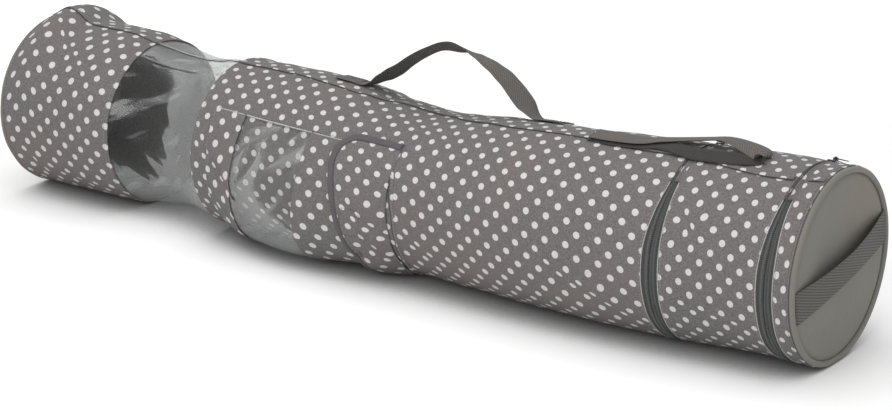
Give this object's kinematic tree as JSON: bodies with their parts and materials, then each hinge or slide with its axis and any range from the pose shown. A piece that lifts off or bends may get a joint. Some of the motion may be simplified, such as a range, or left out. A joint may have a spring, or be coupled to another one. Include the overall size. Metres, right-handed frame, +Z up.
{
  "type": "gift wrap organizer",
  "caption": "Soft zipped tube bag that lies on its side, with a clear window for paper rolls, a front pocket with a flap, a ribbon section, a lid and webbing handles.",
  "frame": {"origin": "on the flattened underside, halfway along the tube", "axes": "+X along the tube from its base end to its lid end, +Y towards the back, +Z up"},
  "size_m": [1.0759, 0.2372, 0.2501],
  "materials": {
    "dotted_fabric": "warm grey woven polyester with a lattice of pale dots",
    "olive_fabric": "smooth olive-grey coated polyester",
    "olive_webbing": "coarse olive-grey woven webbing",
    "dark_binding": "dark purple-grey folded bias binding",
    "zip_tape": "dark green-grey woven zip tape",
    "zip_coil": "dark nylon coil",
    "zip_metal": "dark painted die-cast metal",
    "clear_vinyl": "clear glossy flexible vinyl",
    "board": "grey stiffening board",
    "hook_tape": "dark grey hook and loop tape"
  },
  "bodies": {
    "root": {"arch_handle_left_tab": "olive_webbing", "arch_handle_right_tab": "olive_webbing", "base_board": "board", "base_disc": "olive_fabric", "base_piping": "olive_fabric", "base_sleeve": "dotted_fabric", "body_mouth_panel": "dotted_fabric", "body_panel": "dotted_fabric", "loop_handle": "olive_webbing", "pocket_front": "dotted_fabric", "pocket_loop_patch": "hook_tape", "pocket_mouth_binding": "dark_binding", "pocket_side": "dotted_fabric", "pocket_window": "clear_vinyl", "roll_window": "clear_vinyl", "top_seam": "dotted_fabric", "zip_1_body_tape": "zip_tape", "zip_1_body_teeth": "zip_coil"},
    "ribbon_section": {"section_divider": "board", "section_panel": "dotted_fabric", "section_seam": "dotted_fabric", "zip_1_section_tape": "zip_tape", "zip_1_section_teeth": "zip_coil", "zip_2_section_tape": "zip_tape", "zip_2_section_teeth": "zip_coil"},
    "lid": {"lid_band": "dotted_fabric", "lid_board": "board", "lid_disc": "olive_fabric", "lid_piping": "olive_fabric", "lid_seam": "dotted_fabric", "lid_strap": "olive_webbing", "zip_2_lid_tape": "zip_tape", "zip_2_lid_teeth": "zip_coil"},
    "zip_1_slider": {"zip_1_slider": "zip_metal"},
    "zip_1_pull": {"zip_1_pull": "zip_metal"},
    "zip_2_slider": {"zip_2_slider": "zip_metal"},
    "zip_2_pull": {"zip_2_pull": "zip_metal"},
    "flap": {"flap_panel": "dotted_fabric", "flap_binding": "dark_binding", "flap_hook_patch": "hook_tape"},
    "arch_handle": {"arch_handle": "olive_webbing"}
  },
  "joints": [
    {"name": "ribbon_section_fold", "type": "hinge", "parent": "root", "child": "ribbon_section", "pos_m": [0.3765, -0.02909, 0.19825], "axis": [0, -0.9808, -0.1951], "range_deg": [0, 110], "deforming": ["loop_handle"]},
    {"name": "lid_fold", "type": "hinge", "parent": "ribbon_section", "child": "lid", "pos_m": [0.5005, -0.02039, 0.19825], "axis": [0, -0.9808, -0.1951], "range_deg": [0, 110]},
    {"name": "zip_1_run", "type": "hinge", "parent": "root", "child": "zip_1_slider", "pos_m": [0.3765, -0.00927, 0.0986], "axis": [-1, 0, 0], "range_deg": [0, 296]},
    {"name": "zip_1_pull_swing", "type": "hinge", "parent": "zip_1_slider", "child": "zip_1_pull", "pos_m": [0.3765, 0.0282, 0.19882], "axis": [1, 0, 0], "range_deg": [0, 120]},
    {"name": "zip_2_run", "type": "hinge", "parent": "ribbon_section", "child": "zip_2_slider", "pos_m": [0.5005, -0.00057, 0.0986], "axis": [-1, 0, 0], "range_deg": [0, 296]},
    {"name": "zip_2_pull_swing", "type": "hinge", "parent": "zip_2_slider", "child": "zip_2_pull", "pos_m": [0.5005, 0.0369, 0.19882], "axis": [1, 0, 0], "range_deg": [0, 120]},
    {"name": "flap_fold", "type": "hinge", "parent": "root", "child": "flap", "pos_m": [0.0475, -0.10662, 0.07313], "axis": [0, -0.1951, 0.9808], "range_deg": [0, 150]},
    {"name": "arch_handle_swing", "type": "hinge", "parent": "root", "child": "arch_handle", "pos_m": [0.051, 0.01631, 0.20513], "axis": [1, 0, 0], "range_deg": [-80, 80]}
  ]
}
